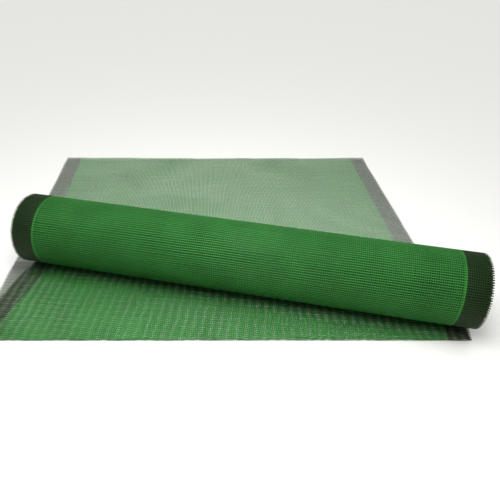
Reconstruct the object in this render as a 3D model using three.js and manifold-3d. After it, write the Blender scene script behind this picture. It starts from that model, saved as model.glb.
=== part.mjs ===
// A roll of open fibreglass render mesh, lying across the run that has been drawn off it.
// Millimetres, +Z up. X runs along the roll, and the origin is on the floor under its middle.
import * as THREE from "three";
import { mergeVertices } from "three/addons/utils/BufferGeometryUtils.js";
import Module from "manifold-3d";

// The mesh, as it is sold.
const stripWidth = 1000;
const meshThickness = 0.5;

// The wound part.
const rollDiameter = 158;
const boreDiameter = 50;
const turnRelief = 1.2; // how deep the hollows between the groups of turns are on an end
const turnGroups = 8; // the groups of turns that stand out on each end

// The run on the floor: it passes under the roll, and the roll lies askew on it.
const runTurn = 15.6; // degrees, anticlockwise from above
const runShift = -37; // where the run's middle line crosses the roll's axis
const runFar = 619; // from the roll's axis to the far cut, along the run's middle line
const runNear = 179; // from the roll's axis to the near cut, along the run's middle line
const farCutSkew = -1.6; // degrees that the far cut is out of square, anticlockwise from above
const nearCutSkew = -3.3; // degrees that the near cut is out of square
const layerGap = 0.3; // between the run and the tail that lies on it

// A coarse grid of openings in the run stands for its fine mesh, and is as open as that is.
const selvedgeBand = 49; // closed along both sides of the run, where the real mesh is printed dark
const openingsAcross = 12;
const openingWidth = 52;
const openingLength = 49;
const rowPitch = 72;
const rowsNearer = 2; // rows of openings on the near side of the bar under the roll's middle
const rowsFarther = 8; // and on its far side

// How finely the round surfaces are faceted.
const roundSides = 48;
const tailLap = 6; // how far the tail reaches in under the roll, past the line that it leaves from

const rollRadius = rollDiameter / 2;
const boreRadius = boreDiameter / 2;
const tailUnderside = meshThickness + layerGap;
const rollAxisHeight = tailUnderside + rollRadius;

const wasm = await Module();
wasm.setup();

function solidOf(geometry) {
  const bare = geometry.clone();
  bare.deleteAttribute("normal");
  bare.deleteAttribute("uv");
  const merged = mergeVertices(bare, 1e-4);
  return new wasm.Manifold(
    new wasm.Mesh({
      numProp: 3,
      vertProperties: merged.attributes.position.array,
      triVerts: new Uint32Array(merged.index.array),
    }),
  );
}

function geometryOf(solid) {
  const mesh = solid.getMesh();
  const geometry = new THREE.BufferGeometry();
  geometry.setAttribute("position", new THREE.BufferAttribute(mesh.vertProperties, 3));
  geometry.setIndex(new THREE.BufferAttribute(mesh.triVerts, 1));
  geometry.computeVertexNormals();
  return geometry;
}

function meshCloth() {
  return new THREE.MeshStandardMaterial({ color: 0x3c8a3c, roughness: 0.55, metalness: 0 });
}

// One end's outline, from the bore out: the edges of the turns stand out in groups.
function endOutline() {
  const groupWidth = (rollRadius - boreRadius) / turnGroups;
  const points = [];
  for (let group = 0; group < turnGroups; group++) {
    const inner = boreRadius + group * groupWidth;
    points.push([inner, 0]);
    points.push([inner + groupWidth / 2, turnRelief]);
  }
  points.push([rollRadius, 0]);
  return points;
}

// The wound turns, turned about the bore, and then laid along X with a flat side down.
function woundTurns() {
  const outline = endOutline();
  const halfLength = stripWidth / 2;
  const lowerEnd = outline.map(([r, depth]) => new THREE.Vector2(r, depth - halfLength));
  const upperEnd = outline.map(([r, depth]) => new THREE.Vector2(r, halfLength - depth));
  const profile = [...lowerEnd, ...upperEnd.reverse(), lowerEnd[0].clone()];
  const turned = new THREE.LatheGeometry(profile, roundSides);
  turned.rotateY(Math.PI / roundSides);
  turned.rotateZ(-Math.PI / 2);
  turned.translate(0, 0, rollAxisHeight);
  return solidOf(turned);
}

// All that lies on one side of a cut across the run, in the run's own frame.
function besideCut(along, skew, side) {
  const reach = 2 * stripWidth;
  const kept = new THREE.BoxGeometry(2 * reach, reach, rollDiameter);
  kept.translate(0, (side * reach) / 2, 0);
  kept.rotateZ(THREE.MathUtils.degToRad(skew));
  kept.translate(0, along, 0);
  return kept;
}

// The free end of the outer turn. It leaves the underside of the roll and lies forward on the
// run, and both are trimmed off together along the run's near cut.
function tail() {
  const reach = 2 * stripWidth;
  const strip = new THREE.BoxGeometry(stripWidth, reach, meshThickness);
  strip.translate(0, tailLap - reach / 2, tailUnderside + meshThickness / 2);
  const kept = besideCut(-runNear, nearCutSkew, 1);
  kept.rotateZ(THREE.MathUtils.degToRad(runTurn));
  kept.translate(runShift, 0, 0);
  return solidOf(strip).intersect(solidOf(kept));
}

// The openings of the run, in its own frame. A bar between two rows lies under the roll's middle.
function openings() {
  const columnPitch = (stripWidth - 2 * selvedgeBand) / openingsAcross;
  const middleBar = runShift * Math.sin(THREE.MathUtils.degToRad(runTurn));
  const boxes = [];
  for (let row = -rowsNearer; row < rowsFarther; row++) {
    for (let column = 0; column < openingsAcross; column++) {
      const box = new THREE.BoxGeometry(openingWidth, openingLength, rollDiameter);
      const across = (column - (openingsAcross - 1) / 2) * columnPitch;
      box.translate(across, middleBar + (row + 0.5) * rowPitch, 0);
      boxes.push(solidOf(box));
    }
  }
  return wasm.Manifold.union(boxes);
}

// The run, in its own frame: a length of the strip between its two cuts, with its openings.
function laidLength() {
  const reach = 2 * (runFar + runNear + stripWidth);
  const strip = new THREE.BoxGeometry(stripWidth, reach, meshThickness);
  strip.translate(0, 0, meshThickness / 2);
  const nearKept = solidOf(besideCut(-runNear, nearCutSkew, 1));
  const farKept = solidOf(besideCut(runFar, farCutSkew, -1));
  return solidOf(strip).intersect(nearKept).intersect(farKept).subtract(openings());
}

const roll = new THREE.Mesh(geometryOf(woundTurns().add(tail())), meshCloth());
roll.name = "mesh_roll";

const run = new THREE.Mesh(geometryOf(laidLength()), meshCloth());
run.name = "laid_run";

const onFloor = new THREE.Group();
onFloor.position.x = runShift;
onFloor.rotation.z = THREE.MathUtils.degToRad(runTurn);
onFloor.add(run);

const rollOfMesh = new THREE.Group();
rollOfMesh.add(roll, onFloor);

export default rollOfMesh;
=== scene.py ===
import math

import bpy
from mathutils import Matrix, Vector, noise


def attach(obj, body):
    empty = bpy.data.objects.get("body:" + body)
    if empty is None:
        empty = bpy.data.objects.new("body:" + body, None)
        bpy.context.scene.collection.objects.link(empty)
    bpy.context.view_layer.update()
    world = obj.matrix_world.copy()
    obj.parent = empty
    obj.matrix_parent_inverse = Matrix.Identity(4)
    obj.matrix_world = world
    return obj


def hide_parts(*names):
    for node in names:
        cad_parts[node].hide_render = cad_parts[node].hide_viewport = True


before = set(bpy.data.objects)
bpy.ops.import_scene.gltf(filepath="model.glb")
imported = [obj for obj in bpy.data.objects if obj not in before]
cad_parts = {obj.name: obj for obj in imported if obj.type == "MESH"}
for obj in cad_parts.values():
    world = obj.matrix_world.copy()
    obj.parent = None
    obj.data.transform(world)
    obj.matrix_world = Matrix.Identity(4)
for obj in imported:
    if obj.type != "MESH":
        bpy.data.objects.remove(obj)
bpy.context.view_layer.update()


# The laid run is the flat length of the strip that passes under the roll, askew to it. It is an open
# cloth of coated glass yarn, one metre wide, with a near-black band of 49 mm along each selvedge. It is
# woven in one piece, lies loose on the floor and has a plain cut across each end.
strip_width = 1.0
warp_spacing = 0.00405
weft_spacing = 0.00505
warp_width = 0.0010
weft_width = 0.00165
yarn_depth = 0.00034
weft_overhang = 0.0032
warp_count = round((strip_width - 2 * weft_overhang) / warp_spacing)
warp_lift = 1.15 * yarn_depth
weft_cuts = 15

run_turn = math.radians(15.6)
run_shift = -0.037
run_near = -0.179
run_far = 0.619
near_cut_skew = math.radians(-3.3)
far_cut_skew = math.radians(-1.6)
trimmed_off = 0.035
run_warp_piece = 0.035

band_width = 0.049
field_green = (0.034, 0.220, 0.036, 1)
edge_yarn_green = (0.040, 0.250, 0.042, 1)
band_green = (0.024, 0.060, 0.016, 1)


def select_only(*pieces):
    """Selects these pieces and no others, and makes the last of them the active one."""
    bpy.ops.object.select_all(action="DESELECT")
    for piece in pieces:
        piece.select_set(True)
    bpy.context.view_layer.objects.active = pieces[-1]


def edit_edges(piece, wanted):
    """Opens a piece in edit mode with those edges selected whose two ends are as wanted."""
    bpy.ops.object.mode_set(mode="EDIT")
    bpy.ops.mesh.select_mode(type="EDGE")
    bpy.ops.mesh.select_all(action="DESELECT")
    bpy.ops.object.mode_set(mode="OBJECT")
    for edge in piece.data.edges:
        start, end = (piece.data.vertices[i].co for i in edge.vertices)
        edge.select = wanted(start, end)
    bpy.ops.object.mode_set(mode="EDIT")


def rows_of_yarn(name, size, place, cuts, count, step):
    """One straight yarn, cut into short lengths and repeated at even steps."""
    long_axis = 0 if size[0] > size[1] else 1

    def runs_lengthwise(start, end):
        return abs(end[long_axis] - start[long_axis]) > size[long_axis] / 2

    bpy.ops.object.select_all(action="DESELECT")
    bpy.ops.mesh.primitive_cube_add(size=1, location=place, scale=size)
    rows = bpy.context.object
    rows.name = name
    bpy.ops.object.transform_apply(location=True, rotation=True, scale=True)
    if cuts > 0:
        edit_edges(rows, runs_lengthwise)
        bpy.ops.mesh.subdivide(number_cuts=cuts)
        bpy.ops.object.mode_set(mode="OBJECT")
    array = rows.modifiers.new("rows", "ARRAY")
    array.use_relative_offset = False
    array.use_constant_offset = True
    array.constant_offset_displace = step
    array.count = count
    bpy.ops.object.modifier_apply(modifier=array.name)
    return rows


# No yarn is quite straight, or quite evenly spaced: whole patches of neighbours drift together, and
# each drifts a bit on its own. The drifts are in metres, and their waves are counted per metre.
patch_drift = 0.0009
patch_waves = 7
close_drift = 0.0005
close_waves = 23
own_drift = 0.0009
own_waves = 24
own_step = 0.73
steady_selvedge = 0.05


def let_wander(rows, across, spacing, seed):
    """Moves yarns sideways, along axis 0 or 1. The outermost warps stay straighter than the rest."""
    along = 1 - across
    for vertex in rows.data.vertices:
        place = vertex.co.copy()
        row = round(place[across] / spacing)
        drift = patch_drift * noise.noise(Vector((place.x * patch_waves, place.y * patch_waves, seed)))
        drift += close_drift * noise.noise(
            Vector((place.x * close_waves, place.y * close_waves, seed + 5))
        )
        drift += own_drift * noise.noise(Vector((row * own_step, place[along] * own_waves, seed + 9)))
        from_selvedge = strip_width / 2 - abs(place.x)
        freedom = min(1, from_selvedge / steady_selvedge) if across == 0 else 1
        vertex.co[across] += drift * freedom


def flat_mesh(name, near, far, piece_length, seed):
    """A length of the strip, lying along Y about the middle line, with its underside at Z = 0."""
    length = far - near
    warp_reach = (warp_count - 1) * warp_spacing
    warps = rows_of_yarn(
        name + "_warp",
        (warp_width, length, yarn_depth),
        (-warp_reach / 2, near + length / 2, warp_lift),
        round(length / piece_length) - 1,
        warp_count,
        (warp_spacing, 0, 0),
    )
    wefts = rows_of_yarn(
        name + "_weft",
        (strip_width, weft_width, yarn_depth),
        (0, near + weft_spacing / 2, yarn_depth / 2),
        weft_cuts,
        int(length / weft_spacing),
        (0, weft_spacing, 0),
    )
    let_wander(warps, 0, warp_spacing, seed)
    let_wander(wefts, 1, weft_spacing, seed + 20)
    select_only(wefts, warps)
    bpy.ops.object.join()
    warps.name = name
    return warps


def cut_across(piece, place, skew, far_side):
    """Cuts a strip off through a point, out of square by so much, and closes the cut yarns."""
    select_only(piece)
    bpy.ops.object.mode_set(mode="EDIT")
    bpy.ops.mesh.select_all(action="SELECT")
    bpy.ops.mesh.bisect(
        plane_co=place,
        plane_no=(-math.sin(skew), math.cos(skew), 0),
        use_fill=True,
        clear_inner=not far_side,
        clear_outer=far_side,
    )
    bpy.ops.object.mode_set(mode="OBJECT")


# The mesh is pressed flat under the roll. Away from it, the cloth springs up a few millimetres off
# the floor in long low waves, as it does when it has just come off a roll.
pressed_half = 0.018
rise_length = 0.07
least_lift = 0.0009
wave_lift = 0.0021
waves_across = 2.5
waves_along = 9
wave_seed = 41


def spring(x, y):
    """How far the mesh stands off the floor at a place on it."""
    past_roll = min(1, max(0, (abs(y) - pressed_half) / rise_length))
    wave = 1 + noise.noise(Vector((x * waves_across, y * waves_along, wave_seed)))
    return past_roll * past_roll * (least_lift + wave_lift * wave * wave)


def add_node(tree, kind, **settings):
    node = tree.nodes.new(kind)
    for name, value in settings.items():
        setattr(node, name, value)
    return node


def fill_sockets(tree, sockets, values):
    """Links each value that is another node's output, and sets each that is a number or a colour."""
    for socket, value in zip(sockets, values):
        if isinstance(value, (int, float, tuple)):
            socket.default_value = value
        else:
            tree.links.new(value, socket)


def math_node(tree, operation, first, second):
    node = add_node(tree, "ShaderNodeMath", operation=operation)
    fill_sockets(tree, node.inputs, (first, second))
    return node.outputs[0]


def mix_colors(tree, factor, first, second):
    node = add_node(tree, "ShaderNodeMix", data_type="RGBA")
    factor_socket, first_color, second_color = node.inputs[0], node.inputs[6], node.inputs[7]
    fill_sockets(tree, (factor_socket, first_color, second_color), (factor, first, second))
    return node.outputs[2]


def noise_fac(tree, place, scale, detail):
    node = add_node(tree, "ShaderNodeTexNoise", noise_dimensions="3D")
    node.inputs["Scale"].default_value = scale
    node.inputs["Detail"].default_value = detail
    tree.links.new(place, node.inputs["Vector"])
    return node.outputs["Fac"]


def tone_of(tree, fac, darkest, lightest):
    """A tone that follows the middle part of a noise, from darkest to lightest."""
    node = add_node(tree, "ShaderNodeMapRange")
    node.inputs["From Min"].default_value = 0.3
    node.inputs["From Max"].default_value = 0.7
    node.inputs["To Min"].default_value = darkest
    node.inputs["To Max"].default_value = lightest
    tree.links.new(fac, node.inputs["Value"])
    return node.outputs[0]


def coating_group():
    """The yarn's coating: a field, a paler yarn beside each band, and the bands, unevenly dyed."""
    group = bpy.data.node_groups.new("coating", "ShaderNodeTree")
    group.interface.new_socket("Across", in_out="INPUT", socket_type="NodeSocketFloat")
    group.interface.new_socket("Place", in_out="INPUT", socket_type="NodeSocketVector")
    for name, color in (("Field", field_green), ("Edge Yarn", edge_yarn_green), ("Band", band_green)):
        socket = group.interface.new_socket(name, in_out="INPUT", socket_type="NodeSocketColor")
        socket.default_value = color
    group.interface.new_socket("Color", in_out="OUTPUT", socket_type="NodeSocketColor")
    group.interface.new_socket("Roughness", in_out="OUTPUT", socket_type="NodeSocketFloat")
    group.interface.new_socket("Height", in_out="OUTPUT", socket_type="NodeSocketFloat")
    inside = add_node(group, "NodeGroupInput")
    outside = add_node(group, "NodeGroupOutput")

    from_middle = math_node(group, "ABSOLUTE", inside.outputs["Across"], 0)
    band_edge = strip_width / 2 - band_width
    in_band = math_node(group, "GREATER_THAN", from_middle, band_edge)
    beside_band = math_node(group, "GREATER_THAN", from_middle, band_edge - warp_spacing)
    dyed = mix_colors(group, beside_band, inside.outputs["Field"], inside.outputs["Edge Yarn"])
    dyed = mix_colors(group, in_band, dyed, inside.outputs["Band"])

    patches = noise_fac(group, inside.outputs["Place"], 14, 3)
    specks = noise_fac(group, inside.outputs["Place"], 420, 2)
    patch_tone = tone_of(group, patches, 0.86, 1.12)
    speck_tone = tone_of(group, specks, 0.8, 1.2)
    toned = add_node(group, "ShaderNodeVectorMath", operation="SCALE")
    group.links.new(dyed, toned.inputs[0])
    group.links.new(math_node(group, "MULTIPLY", patch_tone, speck_tone), toned.inputs["Scale"])
    dulling = math_node(group, "MULTIPLY", specks, 0.25)
    group.links.new(toned.outputs[0], outside.inputs["Color"])
    group.links.new(math_node(group, "ADD", dulling, 0.38), outside.inputs["Roughness"])
    group.links.new(specks, outside.inputs["Height"])
    return group


coating = coating_group()


def yarn_material(name, turn=0.0, middle=0.0, field=field_green, band=band_green):
    """Coated glass yarn, on a strip whose middle line is turned and moved across by so much."""
    made = bpy.data.materials.new(name)
    made.use_nodes = True
    tree = made.node_tree
    surface = tree.nodes["Principled BSDF"]
    surface.inputs["IOR"].default_value = 1.48
    surface.inputs["Specular IOR Level"].default_value = 0.2
    place = add_node(tree, "ShaderNodeTexCoord").outputs["Object"]
    on_strip = add_node(tree, "ShaderNodeMapping", vector_type="TEXTURE")
    on_strip.inputs["Location"].default_value = (middle, 0, 0)
    on_strip.inputs["Rotation"].default_value = (0, 0, turn)
    tree.links.new(place, on_strip.inputs["Vector"])
    across = add_node(tree, "ShaderNodeSeparateXYZ")
    tree.links.new(on_strip.outputs[0], across.inputs[0])
    coat = add_node(tree, "ShaderNodeGroup", node_tree=coating)
    coat.inputs["Field"].default_value = field
    coat.inputs["Band"].default_value = band
    tree.links.new(across.outputs["X"], coat.inputs["Across"])
    tree.links.new(place, coat.inputs["Place"])
    tree.links.new(coat.outputs["Color"], surface.inputs["Base Color"])
    tree.links.new(coat.outputs["Roughness"], surface.inputs["Roughness"])
    bump = add_node(tree, "ShaderNodeBump")
    bump.inputs["Strength"].default_value = 0.35
    bump.inputs["Distance"].default_value = 0.0001
    tree.links.new(coat.outputs["Height"], bump.inputs["Height"])
    tree.links.new(bump.outputs[0], surface.inputs["Normal"])
    return made


def finish_piece(piece, material):
    select_only(piece)
    bpy.ops.object.shade_smooth()
    piece.data.materials.clear()
    piece.data.materials.append(material)
    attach(piece, "root")


run = flat_mesh("laid_mesh", run_near - trimmed_off, run_far + trimmed_off, run_warp_piece, seed=3)
cut_across(run, (0, run_near, 0), near_cut_skew, far_side=False)
cut_across(run, (0, run_far, 0), far_cut_skew, far_side=True)
place_run = Matrix.Translation((run_shift, 0, 0)) @ Matrix.Rotation(run_turn, 4, "Z")
run.data.transform(place_run)
for vertex in run.data.vertices:
    vertex.co.z += spring(vertex.co.x, vertex.co.y)
finish_piece(run, yarn_material("yarn_of_run", run_turn, run_shift))
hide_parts("laid_run")


# The outer turn of the roll and its tail are one length of the same cloth. The tail lies forward on
# the run, trimmed off in line with it, and the strip then goes round the back and over the top. It is
# wound freely, on no tube, with its weft on the outside.
tail_height = 0.0008
outer_radius = 0.079
turn_depth = 0.00035
turn_length = 2 * math.pi * outer_radius
axis_height = tail_height + outer_radius
tail_reach = 0.345
tail_spring = 1.25
round_piece = turn_length / 54


def wind(piece, start):
    """Winds a flat length about the roll: what lies at Y > 0 goes round, from a given place on it."""
    shrink = turn_depth / (2 * math.pi)
    for vertex in piece.data.vertices:
        x, along, depth = vertex.co
        if along + start <= 0:
            vertex.co.z = tail_height + depth + tail_spring * spring(x, along)
            continue
        left = outer_radius**2 - 2 * shrink * (along + start)
        turned = (outer_radius - math.sqrt(left)) / shrink
        radius = outer_radius - shrink * turned - depth
        vertex.co = (x, radius * math.sin(turned), axis_height - radius * math.cos(turned))


outer_turn = flat_mesh("outer_turn", -tail_reach, turn_length, round_piece, seed=11)
middle_of_cut = Matrix.Rotation(run_turn, 3, "Z") @ Vector((0, run_near, 0))
middle_of_cut += Vector((run_shift, 0, 0))
cut_across(outer_turn, middle_of_cut, run_turn + near_cut_skew, far_side=False)
wind(outer_turn, 0)
finish_piece(outer_turn, yarn_material("yarn_of_roll"))
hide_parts("mesh_roll")


# The second turn is the same cloth again, wound tight under the outer one. It shows only through the
# openings of the outer turn, in its shade, so its green is darker.
deep_field = (0.008, 0.052, 0.009, 1)
deep_band = (0.005, 0.012, 0.004, 1)

second_turn = flat_mesh("second_turn", 0, turn_length, round_piece, seed=17)
wind(second_turn, turn_length)
finish_piece(second_turn, yarn_material("deep_yarn", field=deep_field, band=deep_band))


# The inner turns are the rest of the cloth, wound tight and drawn as one close body. Its near-black
# greens are painted shade, the darkness deep in the openings between the yarns. Their edges ridge its
# two ends, and the bore is open from end to end.
bore_radius = 0.025
turns_over_body = 2.2
body_clearance = 0.0004
body_radius = outer_radius - turns_over_body * turn_depth - body_clearance
body_half = strip_width / 2 - 0.0055
body_sides = 96
end_ridges = 48
ridge_depth = 0.0008
# Painted shade: the body's field and band are the cloth's own greens darkened nearly to black.
body_shade_field = (0.004, 0.026, 0.004, 1)
body_shade_band = (0.003, 0.006, 0.003, 1)


def inner_body():
    step = (body_radius - bore_radius) / (2 * end_ridges)
    bpy.ops.object.select_all(action="DESELECT")
    bpy.ops.mesh.primitive_cylinder_add(
        vertices=body_sides,
        radius=body_radius,
        depth=2 * body_half,
        end_fill_type="NOTHING",
        rotation=(0, math.pi / 2, 0),
    )
    body = bpy.context.object
    body.name = "inner_turns"
    bpy.ops.object.transform_apply(location=True, rotation=True, scale=True)
    for side in (-1, 1):

        def on_rim(start, end):
            return all(
                corner.x * side > 0 and math.hypot(corner.y, corner.z) > body_radius - step / 4
                for corner in (start, end)
            )

        edit_edges(body, on_rim)
        radius = body_radius
        for ridge in range(2 * end_ridges):
            bpy.ops.mesh.extrude_edges_move()
            inner = radius - step
            shrunk = inner / radius
            bpy.ops.transform.resize(value=(1, shrunk, shrunk), center_override=(0, 0, 0))
            lean = -side * ridge_depth if ridge % 2 == 0 else side * ridge_depth
            bpy.ops.transform.translate(value=(lean, 0, 0))
            radius = inner
        bpy.ops.object.mode_set(mode="OBJECT")

    def on_bore(start, end):
        return all(
            abs(math.hypot(corner.y, corner.z) - bore_radius) < step / 4 for corner in (start, end)
        )

    edit_edges(body, on_bore)
    bpy.ops.mesh.bridge_edge_loops()
    bpy.ops.mesh.select_all(action="SELECT")
    bpy.ops.mesh.normals_make_consistent(inside=False)
    bpy.ops.object.mode_set(mode="OBJECT")
    body.data.transform(Matrix.Translation((0, 0, axis_height)))
    return body


finish_piece(inner_body(), yarn_material("inner_turns_painted_shade", field=body_shade_field, band=body_shade_band))


# Every turn ends in the cut ends of its weft yarns, so each end of the roll is a close brush of
# them, row within row from the bore out. They are ends of the same yarn, dyed with the bands.
stub_length = 0.0034
stub_depth = 0.6 * yarn_depth
set_back = 0.0032
unevenness = 0.0012
bore_margin = 0.0004
wound_area = math.pi * (body_radius**2 - (bore_radius + bore_margin) ** 2)
wound_length = wound_area / turn_depth
stub_count = int(wound_length / weft_spacing)
stub_green = (0.045, 0.105, 0.032, 1)

for side, end_name in ((-1, "left_yarn_ends"), (1, "right_yarn_ends")):
    ends = rows_of_yarn(
        end_name,
        (stub_length, weft_width, stub_depth),
        (side * (strip_width / 2 - set_back - stub_length / 2), weft_spacing / 2, stub_depth / 2),
        0,
        stub_count,
        (0, weft_spacing, 0),
    )
    for vertex in ends.data.vertices:
        row = round(vertex.co.y / weft_spacing - 0.5)
        vertex.co.x -= side * unevenness * noise.cell(Vector((row + 0.5, side * 3.5, 0.5)))
    wind(ends, turns_over_body * turn_length)
    finish_piece(ends, yarn_material(end_name, band=stub_green))


# The roll lies on a plain pale floor. A wide soft light comes from high up and a little behind it,
# and a smaller one hangs over the front, where the tail and the near end of the run lie.
bpy.ops.object.select_all(action="DESELECT")
bpy.ops.mesh.primitive_plane_add(size=30, location=(0, 0, -0.0002))
floor = bpy.context.object
floor.name = "floor"
floor_material = bpy.data.materials.new("floor")
floor_material.use_nodes = True
floor_surface = floor_material.node_tree.nodes["Principled BSDF"]
floor_surface.inputs["Base Color"].default_value = (0.9, 0.9, 0.86, 1)
floor_surface.inputs["Roughness"].default_value = 0.7
floor.data.materials.append(floor_material)

world = bpy.data.worlds.new("world")
bpy.context.scene.world = world
world.use_nodes = True
world.node_tree.nodes["Background"].inputs["Color"].default_value = (1, 1, 1, 1)
world.node_tree.nodes["Background"].inputs["Strength"].default_value = 0.17

sky_light = bpy.data.lights.new("sky_light", "SUN")
sky_light.angle = math.radians(70)
sky_light.energy = 2.35
sky_lamp = bpy.data.objects.new("sky_light", sky_light)
bpy.context.scene.collection.objects.link(sky_lamp)
sky_lamp.rotation_euler = (math.radians(-15), math.radians(-5), 0)

near_light = bpy.data.lights.new("near_light", "AREA")
near_light.shape = "DISK"
near_light.size = 0.7
near_light.energy = 7.2
near_lamp = bpy.data.objects.new("near_light", near_light)
bpy.context.scene.collection.objects.link(near_lamp)
near_lamp.location = (-0.02, -0.28, 0.9)

bpy.context.scene.view_settings.view_transform = "Standard"


# The camera looks down at about 38 degrees over the roll's front right shoulder, as the photograph
# does. Its place is in metres from the middle of the roll's line of contact with the floor.
camera_place = Vector((0.151, -0.756, 0.705))
camera_turn = math.radians(-9.8)
camera_dip = math.radians(38.15)
camera_roll = math.radians(1.92)
focal_length_px = 450
photo_width_px = 500

camera_data = bpy.data.cameras.new("camera")
camera_data.sensor_width = 36
camera_data.lens = focal_length_px / photo_width_px * camera_data.sensor_width
camera_data.clip_start = 0.01
camera = bpy.data.objects.new("camera", camera_data)
bpy.context.scene.collection.objects.link(camera)
camera.rotation_euler = (
    Matrix.Rotation(-camera_turn, 3, "Z")
    @ Matrix.Rotation(math.pi / 2 - camera_dip, 3, "X")
    @ Matrix.Rotation(camera_roll, 3, "Z")
).to_euler()
camera.location = camera_place
bpy.context.scene.camera = camera
